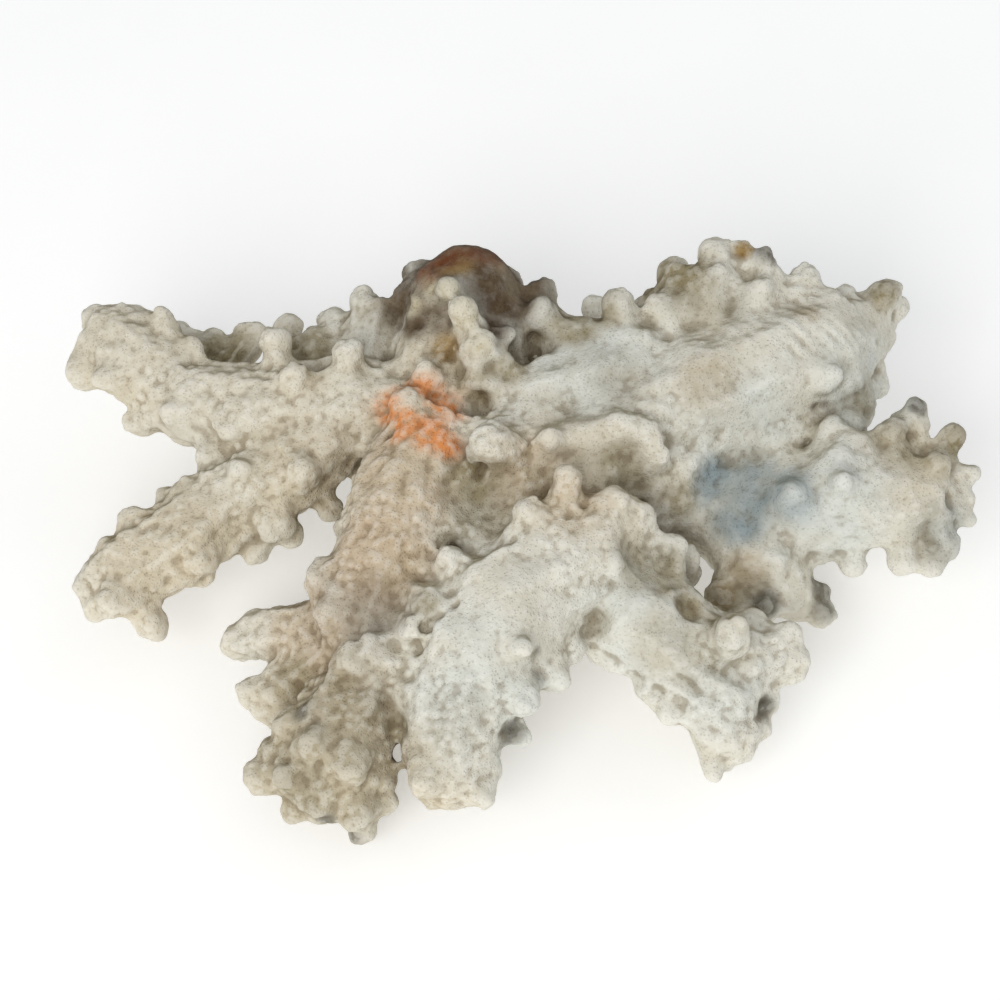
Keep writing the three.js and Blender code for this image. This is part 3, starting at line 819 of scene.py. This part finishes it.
class Graph:
    """Short calls for wiring shader nodes together."""

    def __init__(self, material):
        material.use_nodes = True
        self.tree = material.node_tree
        self.shader = self.tree.nodes["Principled BSDF"]
        self.place = self.tree.nodes.new("ShaderNodeTexCoord").outputs["Object"]

    def wire(self, value, socket):
        """Links a node's output to a socket, or sets the socket to a constant."""
        if isinstance(value, bpy.types.NodeSocket):
            self.tree.links.new(value, socket)
        else:
            socket.default_value = value

    def math(self, operation, *values, clamp=False):
        """A sum, product or other result of some values."""
        node = self.tree.nodes.new("ShaderNodeMath")
        node.operation = operation
        node.use_clamp = clamp
        for value, socket in zip(values, node.inputs):
            self.wire(value, socket)
        return node.outputs[0]

    def mix(self, share, below, above, blend="MIX"):
        """One colour laid over another by a share."""
        node = self.tree.nodes.new("ShaderNodeMix")
        node.data_type = "RGBA"
        node.blend_type = blend
        self.wire(share, node.inputs["Factor"])
        self.wire(below, node.inputs[6])
        self.wire(above, node.inputs[7])
        return node.outputs[2]

    def mask(self, name):
        """The value of a mask that the skin carries."""
        node = self.tree.nodes.new("ShaderNodeAttribute")
        node.attribute_name = name
        return node.outputs["Fac"]

    def noise(self, size, detail=3, roughness=0.55):
        """Noise from 0 to 1 with lumps of about the given size in mm."""
        node = self.tree.nodes.new("ShaderNodeTexNoise")
        node.inputs["Scale"].default_value = 1000 / size
        node.inputs["Detail"].default_value = detail
        node.inputs["Roughness"].default_value = roughness
        self.wire(self.place, node.inputs["Vector"])
        return node.outputs["Fac"]

    def cells(self, size):
        """The distance to the middle of the nearest cell, in cells of about the given size in mm."""
        node = self.tree.nodes.new("ShaderNodeTexVoronoi")
        node.inputs["Scale"].default_value = 1000 / size
        self.wire(self.place, node.inputs["Vector"])
        return node.outputs["Distance"]

    def ramp(self, value, low, high, least=0.0, most=1.0):
        """A smooth change from least at low to most at high."""
        node = self.tree.nodes.new("ShaderNodeMapRange")
        node.interpolation_type = "SMOOTHSTEP"
        for name, number in (("From Min", low), ("From Max", high), ("To Min", least), ("To Max", most)):
            node.inputs[name].default_value = number
        self.wire(value, node.inputs["Value"])
        return node.outputs["Result"]

    def bump(self, height, distance, strength=1.0, below=None):
        """Relief in the shading only, over another such relief."""
        node = self.tree.nodes.new("ShaderNodeBump")
        node.inputs["Distance"].default_value = distance
        node.inputs["Strength"].default_value = strength
        self.wire(height, node.inputs["Height"])
        if below is not None:
            self.wire(below, node.inputs["Normal"])
        return node.outputs["Normal"]


def stained(g, middling):
    """White skeleton under the stains and the marks of painted shade, each laid over the last with its own
    ragged edge.
    """
    lace = g.noise(2.6, 4, 0.6)
    colour = WHITE
    for tint, (paint, raggedness) in TINTS.items():
        edge = g.math("SUBTRACT", lace if raggedness >= LACY else middling, 0.5)
        ragged = g.math("MULTIPLY", edge, raggedness)
        share = g.math("ADD", g.mask(tint), g.math("MULTIPLY", g.mask(tint), ragged), clamp=True)
        colour = g.mix(share, colour, paint)
    return colour


def toned_with_painted_light(g, colour, broad, middling, fine):
    """A colour with warm and dull patches, painted shade with some grime in sheltered places, painted olive
    shade on the faces that turn towards +y, painted shade in hollows and creases, and painted highlights on
    crests.
    """
    colour = g.mix(g.ramp(broad, 0.4, 0.7, 0, 0.3), colour, WARM_WHITE)
    colour = g.mix(g.ramp(middling, 0.35, 0.75, 0, 0.22), colour, DULL_WHITE)
    # painted shade, with some grime, where the colony shuts out the open air
    shade_and_dirt = g.math("MULTIPLY", g.ramp(g.mask("sheltered"), 0.25, 0.8), g.ramp(fine, 0.25, 0.6, 0.6, 1))
    colour = g.mix(g.math("MULTIPLY", shade_and_dirt, 0.6), colour, SHELTERED_SHADE_AND_DIRT, "MULTIPLY")
    # painted shade, olive, on the faces that turn towards +y, away from the key light
    away_side_shade = g.math("MULTIPLY", g.ramp(g.mask("away"), 0.35, 0.95), g.ramp(broad, 0.25, 0.6, 0.45, 1))
    colour = g.mix(g.math("MULTIPLY", away_side_shade, 0.7), colour, AWAY_SIDE_SHADE, "MULTIPLY")
    # painted shade in hollows below the smoothed skin
    colour = g.mix(g.ramp(g.mask("hollow"), 0, 0.9, 0, 0.42), colour, HOLLOW_SHADE, "MULTIPLY")
    # painted shade in fine creases between the bumps
    colour = g.mix(g.ramp(g.mask("crease"), 0.1, 0.9, 0, 0.3), colour, CREASE_SHADE, "MULTIPLY")
    dark = g.math("MAXIMUM", g.mask("brown"), g.math("MAXIMUM", g.mask("rust"), g.mask("blue")))
    # painted highlights on fine crests, weaker on the brown, rust and blue marks
    crest = g.ramp(g.math("MULTIPLY", g.mask("crease"), -1.0), 0.15, 0.9, 0, 0.22)
    crest = g.math("MULTIPLY", crest, g.ramp(dark, 0, 1, 1, 0.15))
    return g.mix(crest, colour, CREST_HIGHLIGHT, "SCREEN")


def coral_material(name):
    """Chalky skeleton: stained, with painted shade and painted highlights, and full of fine pores with
    painted shade in them.
    """
    material = bpy.data.materials.new(name)
    g = Graph(material)
    broad, middling, fine = g.noise(16), g.noise(4.5, 4), g.noise(1.1, 4, 0.65)
    colour = toned_with_painted_light(g, stained(g, middling), broad, middling, fine)
    pore = g.ramp(g.cells(PORE_SIZE), 0.12, 0.4)
    # painted shade in the middles of the pore cells, where the bump makes pits
    pore_shade = g.math("MULTIPLY", g.ramp(pore, 0, 1, 0.16, 0), g.ramp(middling, 0.4, 0.65))
    g.wire(g.mix(pore_shade, colour, PORE_SHADE, "MULTIPLY"), g.shader.inputs["Base Color"])
    g.wire(g.ramp(fine, 0.3, 0.7, 0.78, 0.95), g.shader.inputs["Roughness"])
    g.shader.inputs["Specular IOR Level"].default_value = 0.25
    grain = g.bump(fine, GRAIN_BUMP)
    g.wire(g.bump(pore, PORE_BUMP, 0.6, grain), g.shader.inputs["Normal"])
    return material


# ---------------------------------------------------------------- studio

KEY = {"place": (-0.35, -1.0, 0.85), "size": 0.8, "power": 9.5, "colour": (1, 0.985, 0.96)}  # metres, watts
FILL = {"place": (0.8, 0.5, 0.9), "size": 0.9, "power": 1.5, "colour": (0.94, 0.97, 1)}
LIGHT_AIM = Vector((0, 0, 0.03))
FLOOR_WIDTHS = 12  # of the colony
FLOOR_PATCH = 40  # mm
SKY = (0.96, 0.98, 1, 1)
SKY_STRENGTH = 0.5
CAMERA_AIM = Vector((0, 0, 35)) * MM
CAMERA_ELEVATION = math.asin(0.8)  # about 53 degrees, as in the photo
CAMERA_DISTANCE = 694.4 * MM
LENS = 100
SENSOR = 36


def floor_material():
    """White paper that glows a little, so that it stays white in the shade."""
    material = bpy.data.materials.new("studio_floor")
    g = Graph(material)
    paper = g.mix(g.noise(FLOOR_PATCH), srgb(250, 250, 249), srgb(246, 246, 245))
    g.wire(paper, g.shader.inputs["Base Color"])
    g.shader.inputs["Roughness"].default_value = 0.9
    g.shader.inputs["Emission Color"].default_value = (1, 1, 1, 1)
    g.shader.inputs["Emission Strength"].default_value = 0.25
    return material


def area_light(name, place, size, power, colour):
    """A square light that looks at the colony."""
    light = bpy.data.lights.new(name, "AREA")
    light.size = size
    light.energy = power
    light.color = colour
    obj = new_object(name, light)
    obj.location = place
    obj.rotation_euler = (LIGHT_AIM - Vector(place)).to_track_quat("-Z", "Y").to_euler()


def studio():
    """The white floor, the sky and two lights."""
    span = CAD_BOX[1][0] - CAD_BOX[0][0]
    bpy.ops.mesh.primitive_plane_add(size=FLOOR_WIDTHS * span, location=(0, 0, 0))
    floor = bpy.context.object
    floor.name = "studio_floor"
    floor.data.materials.append(floor_material())
    world = bpy.data.worlds.new("studio")
    bpy.context.scene.world = world
    world.use_nodes = True
    world.node_tree.nodes["Background"].inputs["Color"].default_value = SKY
    world.node_tree.nodes["Background"].inputs["Strength"].default_value = SKY_STRENGTH
    area_light("key", **KEY)
    area_light("fill", **FILL)
    bpy.context.scene.view_settings.view_transform = "Standard"


def camera():
    """The camera at the photo's angle."""
    data = bpy.data.cameras.new("camera")
    data.lens = LENS
    data.sensor_width = SENSOR
    obj = new_object("camera", data)
    back = Vector((0, -math.cos(CAMERA_ELEVATION), math.sin(CAMERA_ELEVATION)))
    obj.location = CAMERA_AIM + CAMERA_DISTANCE * back
    obj.rotation_euler = (-back).to_track_quat("-Z", "Y").to_euler()
    bpy.context.scene.camera = obj


# ---------------------------------------------------------------- parting the skin into branches

SKIN_SMOOTHING = 2.1  # mm, for the smoothed skin that hollows and closing faces are measured from
SETTLING_ROUNDS = 8
STRAY_SHARE = 0.04  # a patch under this share of its branch's skin goes to the branch around it
STRAY_ROUNDS = 3
PLUG_RINGS = 5
RIM_DEPTH = 2.4 * MM  # how far below the smoothed skin a fork's closing face starts, at least
RING_DEPTH = 1.3 * RIM_DEPTH
MIDDLE_DEPTH = 2.5 * RIM_DEPTH
RIM_ROUNDS = 3  # of smoothing along the rim
DEPTH_TRIES = 4  # steps in which a point is moved to its depth


def nearest_branch(co, faces):
    """The number of the CAD branch that each face of the skin lies nearest to."""
    bodies = [mesh_arrays(frame["nodes"][name].data) for name in NODES]
    owner = [n for n, (_, tris) in enumerate(bodies) for _ in tris]
    corners, tris = joined(bodies)
    tree = BVHTree.FromPolygons(corners.tolist(), tris)
    return np.array([owner[tree.find_nearest(m)[2]] for m in co[faces].mean(1)])


def settled(owner, faces):
    """Owners with ragged borders taken out: each corner, then each face, follows the most around it."""
    for _ in range(SETTLING_ROUNDS):
        votes = np.zeros((faces.max() + 1, len(NODES)))
        for k in range(4):
            np.add.at(votes, (faces[:, k], owner), 1)
        owner = sum(votes[faces[:, k]] for k in range(4)).argmax(1)
    return owner


def face_pairs(faces):
    """The two faces on either side of each edge of the closed skin."""
    sides = np.stack([faces, np.roll(faces, -1, 1)], 2).reshape(-1, 2)
    sides.sort(1)
    return (np.lexsort((sides[:, 1], sides[:, 0])) // 4).reshape(-1, 2)


def patches(owner, pairs):
    """For each face, a number that it shares with the faces of its owner that it is joined to."""
    parent = list(range(len(owner)))

    def root(i):
        while parent[i] != i:
            parent[i] = parent[parent[i]]
            i = parent[i]
        return i

    for a, b in pairs[owner[pairs[:, 0]] == owner[pairs[:, 1]]].tolist():
        parent[root(a)] = root(b)
    return np.array([root(i) for i in range(len(owner))])


def without_strays(owner, faces):
    """Owners with each small patch given to the branch that surrounds it."""
    pairs = face_pairs(faces)
    for _ in range(STRAY_ROUNDS):
        patch = patches(owner, pairs)
        size = np.bincount(patch, minlength=len(owner))[patch]
        whole = np.bincount(owner, minlength=len(NODES))[owner]
        stray = size < STRAY_SHARE * whole
        if not stray.any():
            break
        owner = absorbed(owner, patch, stray, pairs)
    return owner


def absorbed(owner, patch, stray, pairs):
    """Owners with each stray patch given to the owner that it borders on most."""
    votes = {}
    for a, b in np.concatenate([pairs, pairs[:, ::-1]]).tolist():
        if stray[a] and owner[a] != owner[b] and not stray[b]:
            tally = votes.setdefault(patch[a], {})
            tally[owner[b]] = tally.get(owner[b], 0) + 1
    winner = {number: max(tally, key=tally.get) for number, tally in votes.items()}
    return np.array([winner.get(p, o) if s else o for p, o, s in zip(patch, owner, stray)])


def boundary_loops(faces):
    """The open edges of some quads as closed runs of corners."""
    sides = {}
    for f in faces:
        for k in range(4):
            a, b = f[k], f[(k + 1) % 4]
            if (b, a) in sides:
                del sides[(b, a)]
            else:
                sides[(a, b)] = True
    following = {}
    for a, b in sides:
        following.setdefault(a, []).append(b)
    loops = []
    while following:
        loop = [next(iter(following))]
        while True:
            ahead = following[loop[-1]].pop()
            if not following[loop[-1]]:
                del following[loop[-1]]
            if ahead == loop[0]:
                break
            loop.append(ahead)
        loops.append(loop)
    return loops


def below_skin(point, depth, tree):
    """A point moved until it lies at least a depth below the smoothed skin."""
    point = Vector(point)
    for _ in range(DEPTH_TRIES):
        skin, normal = tree.find_nearest(point)[:2]
        short = depth - (skin - point).dot(normal)
        if short <= 0:
            break
        point -= short * normal
    return np.array(point)


def plug(rim, tree):
    """Rings of points and a middle that close a fork's rim, from straight below it inwards."""
    first = np.array([below_skin(p, RIM_DEPTH, tree) for p in rim])
    for _ in range(RIM_ROUNDS):
        first = 0.5 * first + 0.25 * (np.roll(first, 1, 0) + np.roll(first, -1, 0))
    middle = below_skin(first.mean(0), MIDDLE_DEPTH, tree)
    rings = [first]
    for k in range(1, PLUG_RINGS):
        ring = first + k / PLUG_RINGS * (middle - first)
        rings.append(np.array([below_skin(p, RING_DEPTH, tree) for p in ring]))
    return np.concatenate(rings), middle


def plug_faces(ring, first):
    """The faces between a rim and the rings and middle point of its plug, which start at corner first."""
    n = len(ring)
    faces = []
    rows = [ring] + [[first + r * n + k for k in range(n)] for r in range(PLUG_RINGS)]
    for outer, inner in zip(rows, rows[1:]):
        for k in range(n):
            ahead = (k + 1) % n
            faces.append([outer[ahead], outer[k], inner[k], inner[ahead]])
    last = rows[-1]
    faces += [[last[(k + 1) % n], last[k], first + PLUG_RINGS * n] for k in range(n)]
    return faces


def branch_piece(name, mine, co, normals, masks, smooth, tree):
    """One branch's part of the skin as a closed piece, shaded as part of the whole skin."""
    used, local = np.unique(mine, return_inverse=True)
    faces = local.reshape(mine.shape).tolist()
    points, shading = [co[used]], [normals[used]]
    count = len(used)
    values = {mask: [share[used]] for mask, share in masks.items()}
    for loop in boundary_loops(faces):
        inner, middle = plug(smooth[used[loop]], tree)
        faces += plug_faces(loop, count)
        points += [inner, middle[None]]
        shading.append(np.zeros((len(inner) + 1, 3)))
        for share in values.values():
            share.append(np.zeros(len(inner) + 1))
        count += len(inner) + 1
    mesh = new_mesh(name + "_skin", np.concatenate(points), faces)
    for mask, share in values.items():
        layer = mesh.attributes.new(mask, "FLOAT", "POINT")
        layer.data.foreach_set("value", np.concatenate(share).astype(np.float32))
    mesh.polygons.foreach_set("use_smooth", [True] * len(faces))
    mesh.normals_split_custom_set_from_vertices(np.concatenate(shading).tolist())
    return new_object(name + "_skin", mesh)


def build_pieces():
    """Every branch's piece, in place of its CAD node."""
    co, faces, edges = colony_skin()
    normals = vertex_normals(co, faces.tolist())
    smooth = relax(co, edges, SKIN_SMOOTHING)
    masks = skin_masks(co, faces, normals, edges, smooth)
    owner = without_strays(settled(nearest_branch(co, faces), faces), faces)
    tree = BVHTree.FromPolygons(smooth.tolist(), faces.tolist())
    slots = {part["node"]: part["material_slot"] for part in frame["record"]["subparts"]}
    materials = {slot: coral_material(slot) for slot in sorted(set(slots.values()))}
    for n, name in enumerate(NODES):
        piece = branch_piece(name, faces[owner == n], co, normals, masks, smooth, tree)
        piece.data.materials.append(materials[slots[name]])
        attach(piece, "root")
        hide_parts(name)


camera()
studio()
build_pieces()
